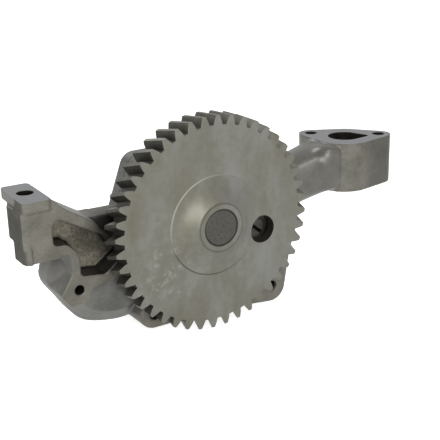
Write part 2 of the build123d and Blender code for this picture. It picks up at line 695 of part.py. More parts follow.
# Pump gears, in mesh: a tooth of the driving gear points at the idler and meets a gap there
with BuildPart() as driving_pump_gear:
    with BuildSketch(upright(PUMP_FRONT + SIDE_GAP)):
        with BuildLine():
            toothed_outline(
                PUMP_TEETH, PUMP_PITCH_R, PUMP_TIP_R, PUMP_ROOT_R, PUMP_PRESSURE_ANGLE, PUMP_BACKLASH,
                IDLER_DIRECTION)
        make_face()
        Circle(SHAFT_REAR_R + SEAT_GAP, mode=Mode.SUBTRACT)
        with Locations((0, SHAFT_REAR_R)):
            Rectangle(KEY_WIDTH + 2 * SEAT_GAP, KEY_HEIGHT + 2 * SEAT_GAP, mode=Mode.SUBTRACT)
    extrude(amount=-PUMP_WIDTH)
save(driving_pump_gear, "driving_pump_gear")

with BuildPart() as driven_pump_gear:
    idler_plane = upright(PUMP_FRONT + SIDE_GAP).shift_origin(point(IDLER_X, PUMP_FRONT + SIDE_GAP, IDLER_Z))
    with BuildSketch(idler_plane):
        with BuildLine():
            toothed_outline(
                PUMP_TEETH, PUMP_PITCH_R, PUMP_TIP_R, PUMP_ROOT_R, PUMP_PRESSURE_ANGLE, PUMP_BACKLASH,
                IDLER_DIRECTION + 180 + 180 / PUMP_TEETH)
        make_face()
        Circle(IDLER_AXLE_R + IDLER_BUSH_WALL + SEAT_GAP, mode=Mode.SUBTRACT)
    extrude(amount=-PUMP_WIDTH)
save(driven_pump_gear, "driven_pump_gear")


# Bushes, idler axle and washers
save(ring(SHAFT_R + RUNNING_GAP, FRONT_BUSH_R, BODY_FRONT, FRONT_WALL), "front_bush")
save(ring(SHAFT_REAR_R + RUNNING_GAP, REAR_BUSH_R, BODY_REAR, SHAFT_BOSS_REAR - BODY_REAR), "rear_bush")
save(ring(0, IDLER_AXLE_R, PUMP_FRONT - IDLER_AXLE_SEAT + SEAT_GAP,
          CHAMBER_DEPTH + 2 * (IDLER_AXLE_SEAT - SEAT_GAP), IDLER_X, IDLER_Z), "idler_axle")
save(ring(IDLER_AXLE_R + RUNNING_GAP, IDLER_AXLE_R + IDLER_BUSH_WALL, PUMP_FRONT + SIDE_GAP, PUMP_WIDTH,
          IDLER_X, IDLER_Z), "idler_bush")
save(ring(SHAFT_R + SEAT_GAP, THRUST_WASHER_R, DRIVE_WIDTH + SEAT_GAP, THRUST_WASHER_THICK), "thrust_washer")
save(ring(SHAFT_REAR_R + SEAT_GAP, REAR_WASHER_R, SHAFT_BOSS_REAR + FREE_GAP, REAR_WASHER_THICK),
     "rear_washer")


# Retaining ring: a spring ring with an open end, in the shaft's groove
with BuildPart() as retaining_ring:
    with BuildSketch(upright(RING_FRONT)):
        Circle(RING_R)
        Circle(SHAFT_REAR_R - RING_GROOVE_DEPTH + SEAT_GAP, mode=Mode.SUBTRACT)
        with Locations((0, -RING_R)):
            Rectangle(RING_OPENING, RING_R, mode=Mode.SUBTRACT)
    extrude(amount=-RING_THICK)
save(retaining_ring, "retaining_ring")


# Cover bolts with their washers, and the dowels
with BuildPart() as cover_bolts:
    head_front = COVER_REAR + WASHER_THICK
    with BuildSketch(upright(head_front)):
        with Locations(*BOLT_PLACES):
            RegularPolygon(BOLT_HEAD_ACROSS / 2, 6, major_radius=False)
    extrude(amount=-BOLT_HEAD_HEIGHT)
    with BuildSketch(upright(head_front)):
        with Locations(*BOLT_PLACES):
            Circle(BOLT_R)
    extrude(amount=BOLT_LENGTH)
save(cover_bolts, "cover_bolts")

with BuildPart() as cover_washers:
    with BuildSketch(upright(COVER_REAR)):
        with Locations(*BOLT_PLACES):
            Circle(WASHER_R)
            Circle(BOLT_R + SEAT_GAP, mode=Mode.SUBTRACT)
    extrude(amount=-WASHER_THICK)
save(cover_washers, "cover_washers")

with BuildPart() as dowel_pins:
    with BuildSketch(upright(BODY_REAR - DOWEL_LENGTH / 2 + SEAT_GAP)):
        with Locations(*DOWEL_PLACES):
            Circle(DOWEL_R)
    extrude(amount=2 * SEAT_GAP - DOWEL_LENGTH)
    chamfer(dowel_pins.faces().filter_by(Plane.XZ).edges(), DOWEL_CHAMFER)
save(dowel_pins, "dowel_pins")


# Relief valve: cup-shaped plunger, spring, and hexagon plug on its seal ring
plunger_foot = VALVE_SEAT_HEIGHT + SIDE_GAP
plug_foot = VALVE_BOSS_TOP - VALVE_PLUG_DEPTH
with BuildPart() as relief_plunger:
    with BuildSketch(level(plunger_foot)):
        with Locations(VALVE_PLACE):
            Circle(VALVE_R - RUNNING_GAP)
    extrude(amount=PLUNGER_LENGTH)
    with BuildSketch(level(plunger_foot + PLUNGER_NOSE)):
        with Locations(VALVE_PLACE):
            Circle(VALVE_R - RUNNING_GAP - PLUNGER_WALL)
    extrude(amount=PLUNGER_LENGTH - PLUNGER_NOSE, mode=Mode.SUBTRACT)
    chamfer(relief_plunger.faces().sort_by(Axis.Z)[0].edges(), PLUNGER_CHAMFER)
save(relief_plunger, "relief_plunger")

spring_foot = plunger_foot + PLUNGER_NOSE
spring_coil_r = VALVE_R - RUNNING_GAP - PLUNGER_WALL - SPRING_WIRE_R - SPRING_SIDE_GAP
spring_rise = plug_foot - spring_foot - 2 * SPRING_WIRE_R - 2 * SIDE_GAP
with BuildPart() as relief_spring:
    spring_middle = point(VALVE_PLACE[0], VALVE_PLACE[1], spring_foot + SPRING_WIRE_R + SIDE_GAP)
    with BuildLine() as spring_path:
        Helix(spring_rise / SPRING_TURNS, spring_rise, spring_coil_r, center=spring_middle)
    with BuildSketch(spring_path.line ^ 0):
        RegularPolygon(SPRING_WIRE_R, 8)
    sweep(is_frenet=True)
save(relief_spring, "relief_spring")

with BuildPart() as relief_plug:
    with BuildSketch(level(plug_foot)):
        with Locations(VALVE_PLACE):
            Circle(VALVE_R - SEAT_GAP)
    extrude(amount=VALVE_PLUG_DEPTH + SEAL_RING_THICK)
    with BuildSketch(level(VALVE_BOSS_TOP + SEAL_RING_THICK)):
        with Locations(VALVE_PLACE):
            RegularPolygon(VALVE_PLUG_ACROSS / 2, 6, major_radius=False)
    extrude(amount=VALVE_PLUG_HEAD)
save(relief_plug, "relief_plug")

with BuildPart() as relief_seal_ring:
    with BuildSketch(level(VALVE_BOSS_TOP)):
        with Locations(VALVE_PLACE):
            Circle(SEAL_RING_R)
            Circle(VALVE_R, mode=Mode.SUBTRACT)
    extrude(amount=SEAL_RING_THICK)
save(relief_seal_ring, "relief_seal_ring")


# Slotted plug in the front of the outlet passage, reached through the drive gear's access hole
with BuildPart() as gallery_plug:
    plug_front = upright(BODY_FRONT)
    with BuildSketch(plug_front):
        with Locations(GALLERY_PLUG_PLACE):
            Circle(GALLERY_PLUG_R)
    extrude(amount=-GALLERY_PLUG_LENGTH)
    chamfer(gallery_plug.faces().sort_by(Axis.Y)[0].edges(), GALLERY_PLUG_CHAMFER)
    with BuildSketch(plug_front):
        with Locations(Location(GALLERY_PLUG_PLACE + (0,), SLOT_ANGLE)):
            Rectangle(3 * GALLERY_PLUG_R, SLOT_WIDTH)
    extrude(amount=-SLOT_DEPTH, mode=Mode.SUBTRACT)
save(gallery_plug, "gallery_plug")
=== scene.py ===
import math

import bmesh
import bpy
from mathutils import Matrix, Vector


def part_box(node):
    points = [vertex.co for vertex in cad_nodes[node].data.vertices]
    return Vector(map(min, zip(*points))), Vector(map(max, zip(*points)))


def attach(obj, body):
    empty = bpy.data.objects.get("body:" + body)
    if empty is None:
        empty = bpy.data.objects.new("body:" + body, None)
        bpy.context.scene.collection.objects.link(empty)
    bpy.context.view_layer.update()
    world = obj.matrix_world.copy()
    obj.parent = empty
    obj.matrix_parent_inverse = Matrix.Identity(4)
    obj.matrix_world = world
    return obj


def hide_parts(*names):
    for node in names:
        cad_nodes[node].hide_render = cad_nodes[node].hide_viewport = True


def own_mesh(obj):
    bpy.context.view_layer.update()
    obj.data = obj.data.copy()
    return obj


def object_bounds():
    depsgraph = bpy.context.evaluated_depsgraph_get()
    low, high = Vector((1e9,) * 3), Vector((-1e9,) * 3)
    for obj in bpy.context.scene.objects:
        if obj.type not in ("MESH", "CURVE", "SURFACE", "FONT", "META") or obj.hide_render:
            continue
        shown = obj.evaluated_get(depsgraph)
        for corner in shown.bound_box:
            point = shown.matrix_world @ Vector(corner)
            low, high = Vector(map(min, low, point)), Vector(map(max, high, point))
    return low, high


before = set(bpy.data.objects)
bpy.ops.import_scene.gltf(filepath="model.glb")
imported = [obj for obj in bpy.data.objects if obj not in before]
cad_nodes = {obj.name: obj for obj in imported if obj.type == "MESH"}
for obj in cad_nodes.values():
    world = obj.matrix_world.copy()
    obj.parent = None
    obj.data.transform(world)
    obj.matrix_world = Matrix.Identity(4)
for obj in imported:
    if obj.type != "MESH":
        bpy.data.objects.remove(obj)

# An engine oil pump on a pale floor: a sand-cast iron housing, a turned helical gear, and their fasteners.
# Metres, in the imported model's frame. The outlet flange's milled top face is at height 0.

MM = 0.001
ROOM_LIGHT = 0.18           # how much light the surround throws on the pump
FLOOR_GLOW = 0.8            # the share of white that the floor shows without any light on it
cad_low, cad_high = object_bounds()

DRIVE_AXIS = Vector((-138.0, 0.0, -33.0)) * MM      # the shaft's line, along Y
ARM_FRONT_Y = -18.0 * MM                            # the left arm's front face
FLANGE_LEFT_X = -45.0 * MM                          # the milled flange lies to the right of this
PAD_RIGHT_X = -236.0 * MM                           # the milled bracket pad lies to the left of this
BRACKET_LEFT_X = -261.0 * MM                        # the bracket's left side lies to the left of this
FLANK_LEFT_X = -6.0 * MM                            # painted shade darkens the flange's side to the right of this
CHAMBER_FRONT_Y = -14.0 * MM                        # the suction chamber lies behind this,
CHAMBER_RIGHT_X = -176.0 * MM                       # to the left of this,
CHAMBER_TOP_Z = -41.0 * MM                          # and below this
JOINT_FACE_Y = 19.0 * MM                            # where the rear cover meets the body
TOOTH_ZONE_R = 66 * MM                              # the gear's teeth lie outside this radius,
LAND_R = 72.3 * MM                                  # and their lands outside this one
PUMP_MIDDLE = Vector((-0.13, 0, -0.03))             # what the lamps are aimed at
CAMERA_PLACE = Vector((-444.85, -536.27, 174.09)) * MM
FOCAL_LENGTH_PX, PHOTO_SIDE_PX = 950, 440           # the photograph's focal length and width, in pixels
OIL_AND_SHADOW_BLACK, TOOTH_OIL_AND_SHADE, PAINTED_SHADE_COLOUR = "#191714", "#1d1c18", "#1a1814"     # dried oil darkened with the gear's painted shadow; the same on the teeth; painted shade on rims and sides


def linear(shade):
    """An sRGB hex colour as the linear colour that Blender's sockets take."""
    parts = [int(shade[i:i + 2], 16) / 255 for i in (1, 3, 5)]
    return [p / 12.92 if p <= 0.04045 else ((p + 0.055) / 1.055) ** 2.4 for p in parts] + [1.0]


def add(tree, kind, sockets, **settings):
    """Add a node. A socket's value is a number, a colour, or another node's output to link."""
    made = tree.nodes.new(kind)
    for name, value in settings.items():
        setattr(made, name, value)
    for name, value in sockets.items():
        if isinstance(value, bpy.types.NodeSocket):
            tree.links.new(value, made.inputs[name])
        else:
            made.inputs[name].default_value = value
    return made


def start_material(name, metallic, roughness, shade, specular=0.5):
    """A material with its Principled shader set, and the object's own coordinates."""
    material = bpy.data.materials.new(name)
    material.use_nodes = True
    material.diffuse_color = linear(shade)
    tree = material.node_tree
    shader = tree.nodes["Principled BSDF"]
    shader.inputs["Metallic"].default_value = metallic
    shader.inputs["Roughness"].default_value = roughness
    shader.inputs["Specular IOR Level"].default_value = specular
    shader.inputs["Base Color"].default_value = linear(shade)
    place = tree.nodes.new("ShaderNodeTexCoord").outputs["Object"]
    return material, tree, shader, place


def sand_cast_iron(name, dark, middle, light, grit_mm=0.9, bump_mm=0.1, dull=0.5, grit_share=0.3,
                   oil_and_shade_at=None, oil_and_shade_mm=(12, 30), painted_shade_film=None, specular=0.3):
    """Grey iron from a sand mould: a dull grey skin, gritty to the touch, with warm and dark patches.

    Where a place is named, black oil thrown off by the gear has dried around it, with the gear's shadow
    painted in there too. Where an attribute is named, it says how much painted shade darkens the skin.
    """
    material, tree, shader, place = start_material(name, 0.15, dull, middle, specular)
    patches = add(tree, "ShaderNodeTexNoise",
                  {"Vector": place, "Scale": 1 / (22 * MM), "Detail": 4.0, "Roughness": 0.6})
    grit = add(tree, "ShaderNodeTexNoise",
               {"Vector": place, "Scale": 1 / (grit_mm * 2 * MM), "Detail": 3.0, "Roughness": 0.7})
    skin = add(tree, "ShaderNodeMix", {0: grit_share, 2: patches.outputs["Fac"], 3: grit.outputs["Fac"]},
               data_type="FLOAT")
    ramp = add(tree, "ShaderNodeValToRGB", {"Fac": skin.outputs[0]})
    ramp.color_ramp.elements[0].position = 0.36
    ramp.color_ramp.elements[0].color = linear(dark)
    ramp.color_ramp.elements[1].position = 0.64
    ramp.color_ramp.elements[1].color = linear(light)
    ramp.color_ramp.elements.new(0.5).color = linear(middle)
    skin_colour = ramp.outputs["Color"]
    # Black oil round the place, with the gear's shadow on the casting painted in as part of it
    if oil_and_shade_at is not None:
        away = add(tree, "ShaderNodeVectorMath", {0: place, 1: oil_and_shade_at}, operation="DISTANCE")
        ragged = add(tree, "ShaderNodeMath",
                     {0: patches.outputs["Fac"], 1: 16 * MM, 2: away.outputs["Value"]},
                     operation="MULTIPLY_ADD")
        oil_and_shade_share = add(tree, "ShaderNodeMapRange",
                  {"Value": ragged.outputs[0],
                   "From Min": (oil_and_shade_mm[0] + 8) * MM, "From Max": (oil_and_shade_mm[1] + 8) * MM,
                   "To Min": 0.93, "To Max": 0.0}, interpolation_type="SMOOTHSTEP")
        oil_and_shade_mixed = add(tree, "ShaderNodeMix",
                    {0: oil_and_shade_share.outputs["Result"], 6: skin_colour, 7: linear(OIL_AND_SHADOW_BLACK)}, data_type="RGBA")
        skin_colour = oil_and_shade_mixed.outputs[2]
    # Painted shade along the pocket's rim and over the flange's right side
    if painted_shade_film is not None:
        shade_amount = add(tree, "ShaderNodeAttribute", {}, attribute_name=painted_shade_film)
        rim_shaded = add(tree, "ShaderNodeMix",
                     {0: shade_amount.outputs["Fac"], 6: skin_colour, 7: linear(PAINTED_SHADE_COLOUR)}, data_type="RGBA")
        skin_colour = rim_shaded.outputs[2]
    tree.links.new(skin_colour, shader.inputs["Base Color"])
    sheen = add(tree, "ShaderNodeMapRange",
                {"Value": patches.outputs["Fac"], "To Min": dull - 0.08, "To Max": dull + 0.1})
    tree.links.new(sheen.outputs["Result"], shader.inputs["Roughness"])
    bump = add(tree, "ShaderNodeBump",
               {"Height": grit.outputs["Fac"], "Strength": 0.35, "Distance": bump_mm * MM})
    tree.links.new(bump.outputs["Normal"], shader.inputs["Normal"])
    return material


def milled_iron(name, shade, lighter):
    """Iron faced off by a milling cutter: lighter and smoother than the casting, with fine cutter lines."""
    material, tree, shader, place = start_material(name, 0.4, 0.4, shade)
    lines = add(tree, "ShaderNodeTexWave",
                {"Vector": place, "Scale": 1 / (9 * MM), "Distortion": 1.5,
                 "Detail": 2.0, "Detail Scale": 0.6},
                wave_type="BANDS", bands_direction="DIAGONAL")
    cloud = add(tree, "ShaderNodeTexNoise", {"Vector": place, "Scale": 1 / (9 * MM), "Detail": 3.0})
    blend = add(tree, "ShaderNodeMath", {0: lines.outputs["Fac"], 1: cloud.outputs["Fac"]},
                operation="MULTIPLY")
    ramp = add(tree, "ShaderNodeValToRGB", {"Fac": blend.outputs[0]})
    ramp.color_ramp.elements[0].color = linear(shade)
    ramp.color_ramp.elements[1].color = linear(lighter)
    tree.links.new(ramp.outputs["Color"], shader.inputs["Base Color"])
    bump = add(tree, "ShaderNodeBump",
               {"Height": lines.outputs["Fac"], "Strength": 0.15, "Distance": 0.03 * MM})
    tree.links.new(bump.outputs["Normal"], shader.inputs["Normal"])
    return material


def turned_steel(name, dark, middle, light, centre, ring_mm, stain_place):
    """Steel faced in a lathe: fine rings round its axis, warm cloudy oil, and pale dried drops.

    Oil stands black in the seam round the shaft's end, and thinner in the turned steps of the hub. The
    outer step has painted shade on its lower side and a painted highlight on its upper left.
    """
    material, tree, shader, place = start_material(name, 0.5, 0.43, middle)
    centred = add(tree, "ShaderNodeMapping",
                  {"Vector": place, "Location": -centre, "Scale": (1.0, 0.0, 1.0)}).outputs["Vector"]
    smeared = add(tree, "ShaderNodeMapping", {"Vector": place, "Scale": (1.0, 1.0, 0.45)}).outputs["Vector"]
    clouds = add(tree, "ShaderNodeTexNoise",
                 {"Vector": smeared, "Scale": 1 / (26 * MM), "Detail": 4.0, "Roughness": 0.55})
    specks = add(tree, "ShaderNodeTexNoise",
                 {"Vector": place, "Scale": 1 / (4 * MM), "Detail": 3.0, "Roughness": 0.65})
    both = add(tree, "ShaderNodeMix", {0: 0.22, 2: clouds.outputs["Fac"], 3: specks.outputs["Fac"]},
               data_type="FLOAT")
    ramp = add(tree, "ShaderNodeValToRGB", {"Fac": both.outputs[0]})
    ramp.color_ramp.elements[0].position = 0.36
    ramp.color_ramp.elements[0].color = linear(dark)
    ramp.color_ramp.elements[1].position = 0.64
    ramp.color_ramp.elements[1].color = linear(light)
    ramp.color_ramp.elements.new(0.5).color = linear(middle)

    near_stain = add(tree, "ShaderNodeVectorMath", {0: place, 1: stain_place}, operation="DISTANCE")
    stained = add(tree, "ShaderNodeMapRange",
                  {"Value": near_stain.outputs["Value"], "From Min": 8 * MM, "From Max": 30 * MM,
                   "To Min": 1.0, "To Max": 0.0}, interpolation_type="SMOOTHSTEP")
    drops = add(tree, "ShaderNodeTexNoise",
                {"Vector": place, "Scale": 1 / (5 * MM), "Detail": 3.0, "Roughness": 0.6})
    drop_shape = add(tree, "ShaderNodeMapRange",
                     {"Value": drops.outputs["Fac"], "From Min": 0.54, "From Max": 0.66})
    drop_here = add(tree, "ShaderNodeMath",
                    {0: drop_shape.outputs["Result"], 1: stained.outputs["Result"]}, operation="MULTIPLY")
    drop_share = add(tree, "ShaderNodeMath", {0: drop_here.outputs[0], 1: 0.3}, operation="MULTIPLY")
    dried = add(tree, "ShaderNodeMix",
                {0: drop_share.outputs[0], 6: ramp.outputs["Color"], 7: linear("#a3a29b")}, data_type="RGBA")

    radius = add(tree, "ShaderNodeVectorMath", {0: centred}, operation="LENGTH").outputs["Value"]
    colour = dried.outputs[2]
    pointing = add(tree, "ShaderNodeVectorMath", {0: centred}, operation="NORMALIZE").outputs["Vector"]
    # The last two rings are painted shade on the outer step's lower side and a painted highlight on its
    # upper left
    for seam_mm, width_mm, share, shade, side in (
            (12.1, 0.9, 0.92, "#171613", None),
            (16.2, 0.9, 0.4, "#171613", None),
            (34.0, 0.7, 0.6, "#22211d", (-0.35, 0, -0.94)),
            (33.7, 0.6, 0.3, "#d2d0c6", (-0.75, 0, 0.66))):
        from_seam = add(tree, "ShaderNodeMath", {0: radius, 1: seam_mm * MM}, operation="SUBTRACT")
        beside = add(tree, "ShaderNodeMath", {0: from_seam.outputs[0]}, operation="ABSOLUTE")
        seam = add(tree, "ShaderNodeMapRange",
                   {"Value": beside.outputs[0], "From Min": 0.45 * width_mm * MM, "From Max": width_mm * MM,
                    "To Min": share, "To Max": 0.0}).outputs["Result"]
        if side is not None:
            turned_to = add(tree, "ShaderNodeVectorMath", {0: pointing, 1: side}, operation="DOT_PRODUCT")
            shown = add(tree, "ShaderNodeMapRange",
                        {"Value": turned_to.outputs["Value"], "From Min": 0.35, "From Max": 0.95})
            seam = add(tree, "ShaderNodeMath", {0: seam, 1: shown.outputs["Result"]},
                       operation="MULTIPLY").outputs[0]
        colour = add(tree, "ShaderNodeMix", {0: seam, 6: colour, 7: linear(shade)},
                     data_type="RGBA").outputs[2]
    tree.links.new(colour, shader.inputs["Base Color"])
    gloss = add(tree, "ShaderNodeMapRange", {"Value": clouds.outputs["Fac"], "To Min": 0.34, "To Max": 0.52})
    tree.links.new(gloss.outputs["Result"], shader.inputs["Roughness"])
    rings = add(tree, "ShaderNodeTexWave",
                {"Vector": centred, "Scale": 1 / (ring_mm * 20 * MM) * 3.14, "Distortion": 0.3},
                wave_type="RINGS", rings_direction="Y")
    bump = add(tree, "ShaderNodeBump",
               {"Height": rings.outputs["Fac"], "Strength": 0.12, "Distance": 0.02 * MM})
    tree.links.new(bump.outputs["Normal"], shader.inputs["Normal"])
    return material


def plain_metal(name, shade, darker, metallic, roughness, patch_mm=4.0, oil_and_shade_at=None, oil_and_shade_mm=(60, 125)):
    """Small turned or rolled parts: even metal, a little uneven in its tone where oil has dried.

    Where a place is named, oil and the gear's painted shadow lie thick and black round it.
    """
    material, tree, shader, place = start_material(name, metallic, roughness, shade)
    tone = add(tree, "ShaderNodeTexNoise",
               {"Vector": place, "Scale": 1 / (patch_mm * MM), "Detail": 4.0, "Roughness": 0.6})
    ramp = add(tree, "ShaderNodeValToRGB", {"Fac": tone.outputs["Fac"]})
    ramp.color_ramp.elements[0].position = 0.3
    ramp.color_ramp.elements[0].color = linear(darker)
    ramp.color_ramp.elements[1].position = 0.7
    ramp.color_ramp.elements[1].color = linear(shade)
    colour = ramp.outputs["Color"]
    # Oil and painted shade darken the teeth round the place
    if oil_and_shade_at is not None:
        away = add(tree, "ShaderNodeVectorMath", {0: place, 1: oil_and_shade_at}, operation="DISTANCE")
        oil_and_shade_share = add(tree, "ShaderNodeMapRange",
                  {"Value": away.outputs["Value"], "From Min": oil_and_shade_mm[0] * MM, "From Max": oil_and_shade_mm[1] * MM,
                   "To Min": 0.75, "To Max": 0.0})
        colour = add(tree, "ShaderNodeMix", {0: oil_and_shade_share.outputs["Result"], 6: colour, 7: linear(TOOTH_OIL_AND_SHADE)},
                     data_type="RGBA").outputs[2]
    tree.links.new(colour, shader.inputs["Base Color"])
    bump = add(tree, "ShaderNodeBump",
               {"Height": tone.outputs["Fac"], "Strength": 0.1, "Distance": 0.05 * MM})
    tree.links.new(bump.outputs["Normal"], shader.inputs["Normal"])
    return material


NOTCH_PLACE = DRIVE_AXIS + Vector((-62.0, -12.0, 1.0)) * MM     # where the gear's teeth fling oil on the arm, and where its shadow is painted
housing_iron = sand_cast_iron("grey_iron_sand_cast", "#57564d", "#69675e", "#79766e", 0.9, 0.1, 0.45,
                              oil_and_shade_at=NOTCH_PLACE, painted_shade_film="painted_shade_film")
pocket_iron = sand_cast_iron("grey_iron_pocket_floor", "#504c41", "#767063", "#9e9786", 0.9, 0.4, 0.5,
                             0.55, NOTCH_PLACE, (3, 34), "painted_shade_film")
# Near black for walls in recesses: old oil and painted shade
oil_and_shade_wall_iron = sand_cast_iron("grey_iron_walls_oil_and_painted_shade", "#141310", "#211f1b", "#37332c", 1.1, 0.1, 0.32)
smooth_iron = sand_cast_iron("grey_iron_smooth_faces", "#5f615c", "#706f6b", "#7e7d78", 1.6, 0.04, 0.45,
                             0.15, NOTCH_PLACE, (9, 40), specular=0.15)
# A darker finish for the side turned from the lamps: painted shade
side_shade_iron = sand_cast_iron("grey_iron_side_painted_shade", "#54534d", "#62615a", "#6e6d67", 1.6, 0.04, 0.7,
                           0.15, specular=0.05)
oily_iron = sand_cast_iron("grey_iron_oiled_skin", "#45443e", "#54534c", "#64625b", 1.2, 0.06, 0.35, 0.2,
                           specular=0.7)
cover_iron = sand_cast_iron("grey_iron_cover", "#565656", "#6c6c6b", "#7e7d7a")
flange_iron = milled_iron("grey_iron_milled", "#666869", "#7b7d7e")
ACCESS_HOLE = Vector((36.7, -30.0, -10.6)) * MM     # the access hole in the gear, told from the drive axis
STAIN_PLACE = DRIVE_AXIS + Vector((-36.0, -38.0, -24.0)) * MM    # where drops of oil have dried on the gear
gear_face_steel = turned_steel("gear_steel_turned", "#625f52", "#6b6a61", "#777772",
                               DRIVE_AXIS, 0.8, STAIN_PLACE)
# The teeth nearest the arm darken with oil and painted shade
tooth_steel = plain_metal("gear_steel_hobbed_teeth", "#75736a", "#5a584f", 0.4, 0.45, 4.0, NOTCH_PLACE)
# Painted shade on the access hole's wall
hole_shade_steel = plain_metal("gear_steel_drilled_painted_shade", "#3b3a34", "#2c2b26", 0.4, 0.4)
land_steel = plain_metal("gear_steel_tooth_lands", "#66665f", "#56554e", 0.5, 0.42)
shaft_steel = plain_metal("shaft_steel_ground", "#4a4944", "#383732", 0.5, 0.45, 1.6)
pump_gear_steel = plain_metal("pump_gear_steel", "#8d8c89", "#7a7976", 0.9, 0.35)
bronze = plain_metal("bush_bronze", "#a88658", "#8d6d43", 0.9, 0.4)
washer_steel = plain_metal("washer_steel_rolled", "#8c8c8a", "#747472", 0.9, 0.38)
spring_steel = plain_metal("spring_steel_oiled", "#5a5a5c", "#444446", 0.9, 0.35)
bolt_steel = plain_metal("bolt_steel_blackened", "#4c4b4a", "#3a3938", 0.7, 0.45)
plug_steel = plain_metal("plug_steel_slotted", "#7c7970", "#57554e", 0.3, 0.5, 3.0)
# Near black for the plug's slot: painted shade in the recess
slot_shade_black = plain_metal("plug_slot_painted_shade", "#12110f", "#0c0b0a", 0.0, 0.4)
seal_aluminium = plain_metal("seal_ring_aluminium", "#b4b4b2", "#9c9c9a", 0.9, 0.4)

MATERIAL_OF = {
    "pump_gear_key": shaft_steel, "driving_pump_gear": pump_gear_steel, "driven_pump_gear": pump_gear_steel,
    "front_bush": bronze, "rear_bush": bronze, "idler_axle": shaft_steel, "idler_bush": bronze,
    "thrust_washer": washer_steel, "rear_washer": washer_steel, "retaining_ring": spring_steel,
    "cover_bolts": bolt_steel, "cover_washers": washer_steel, "dowel_pins": shaft_steel,
    "relief_plunger": shaft_steel, "relief_spring": spring_steel, "relief_plug": bolt_steel,
    "relief_seal_ring": seal_aluminium, "gallery_plug": plug_steel, "drive_shaft": shaft_steel,
    "rear_cover": cover_iron, "pump_housing": housing_iron, "drive_gear": gear_face_steel,
}
for node_name, finish in MATERIAL_OF.items():
    node_mesh = cad_nodes[node_name].data
    node_mesh.materials.clear()
    node_mesh.materials.append(finish)


def merged_copy(node_name):
    """A bmesh of a CAD node, its loose triangles joined, its degenerate slivers dissolved, its normals made
    consistent.
    """
    shape = bmesh.new()
    shape.from_mesh(cad_nodes[node_name].data)
    bmesh.ops.remove_doubles(shape, verts=shape.verts, dist=0.002 * MM)
    bmesh.ops.dissolve_degenerate(shape, edges=shape.edges, dist=0.001 * MM)
    bmesh.ops.recalc_face_normals(shape, faces=shape.faces)
    return shape


def crease(shape, degrees):
    """Shade a shape smooth, except over edges sharper than this."""
    for face in shape.faces:
        face.smooth = True
    for edge in shape.edges:
        edge.smooth = len(edge.link_faces) == 2 and edge.calc_face_angle(0.0) < math.radians(degrees)


def as_object(shape, name, materials):
    """Turn a bmesh into an object with these materials."""
    mesh = bpy.data.meshes.new(name)
    shape.to_mesh(mesh)
    shape.free()
    for material in materials:
        mesh.materials.append(material)
    made = bpy.data.objects.new(name, mesh)
    bpy.context.scene.collection.objects.link(made)
    return made


def applied(piece):
    """Bake a piece's modifiers into its mesh."""
    bpy.context.view_layer.update()
    ready = bpy.data.meshes.new_from_object(piece.evaluated_get(bpy.context.evaluated_depsgraph_get()))
    piece.modifiers.clear()
    piece.data = ready


def stand_for(piece, node_name, body):
    """Let a dressed piece take a CAD node's place."""
    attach(piece, body)
    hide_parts(node_name)


def snap_to_bore(shape, centre, axis, radius_mm, low_mm, high_mm, reach_mm=0.9):
    """Pull the points near a bore's wall onto it, so that a hole drilled in the casting is truly round."""
    across = [i for i in range(3) if i != axis]
    for vert in shape.verts:
        if not low_mm * MM <= vert.co[axis] <= high_mm * MM:
            continue
        side = Vector((vert.co[across[0]] - centre[across[0]], vert.co[across[1]] - centre[across[1]]))
        if side.length > 1e-9 and abs(side.length - radius_mm * MM) < reach_mm * MM:
            side = side.normalized() * radius_mm * MM
            vert.co[across[0]] = centre[across[0]] + side.x
            vert.co[across[1]] = centre[across[1]] + side.y


# The housing: the CAD shape gets a casting's soft edges, and its machined faces and bores are cut true again
VOXEL = 0.8 * MM
KEPT_FACES = 0.45
EDGE_EASING_STEPS, TUBE_EASING_STEPS = 4, 45
MILLING_ALLOWANCE = 1.5 * MM
rough = merged_copy("pump_housing")
for vert in rough.verts:
    if abs(vert.co.z) < 0.01 * MM:
        vert.co.z += MILLING_ALLOWANCE
housing = as_object(rough, "housing_casting", [housing_iron])
skin = housing.modifiers.new("cast skin", "REMESH")
skin.mode = "VOXEL"
skin.voxel_size = VOXEL
ease = housing.modifiers.new("soft edges", "SMOOTH")
ease.factor = 0.5
ease.iterations = EDGE_EASING_STEPS
thin = housing.modifiers.new("fewer faces", "DECIMATE")
thin.ratio = KEPT_FACES
applied(housing)

casting = bmesh.new()
casting.from_mesh(housing.data)


def on_right_arm(place, clear_mm=0.0):
    """Whether a point, in millimetres, is on the outlet tube or its elbow, short of the flange's nose."""
    near_nose = math.hypot(place.x + 7.7, place.y + 9.2) < 20.9 + clear_mm
    return -80 < place.x < -18 and -50 < place.z < -0.3 and not near_nose


# The tube's skin flows into the elbow's
flowing = [vert for vert in casting.verts if on_right_arm(vert.co / MM, 1.2) and vert.co.x < -24 * MM]
for _ in range(TUBE_EASING_STEPS):
    bmesh.ops.smooth_vert(casting, verts=flowing, factor=0.5,
                          use_axis_x=True, use_axis_y=True, use_axis_z=True)


def mill_top(shape, chosen):
    """Cut the allowance off at height 0 where chosen(x) is true, and close the cut with a flat face."""
    verts = {vert for vert in shape.verts if chosen(vert.co.x)}
    edges = [edge for edge in shape.edges if all(vert in verts for vert in edge.verts)]
    faces = [face for face in shape.faces if all(vert in verts for vert in face.verts)]
    cut = bmesh.ops.bisect_plane(
        shape, geom=list(verts) + edges + faces, dist=0.001 * MM,
        plane_co=(0, 0, 0), plane_no=(0, 0, 1), clear_outer=True)
    rim = [part for part in cut["geom_cut"] if isinstance(part, bmesh.types.BMEdge)]
    bmesh.ops.triangle_fill(shape, edges=rim, use_beauty=True, normal=(0, 0, 1))


mill_top(casting, lambda x: x > FLANGE_LEFT_X)
mill_top(casting, lambda x: x < PAD_RIGHT_X)
for vert in casting.verts:
    if abs(vert.co.y - JOINT_FACE_Y) < 0.6 * MM:
        vert.co.y = JOINT_FACE_Y

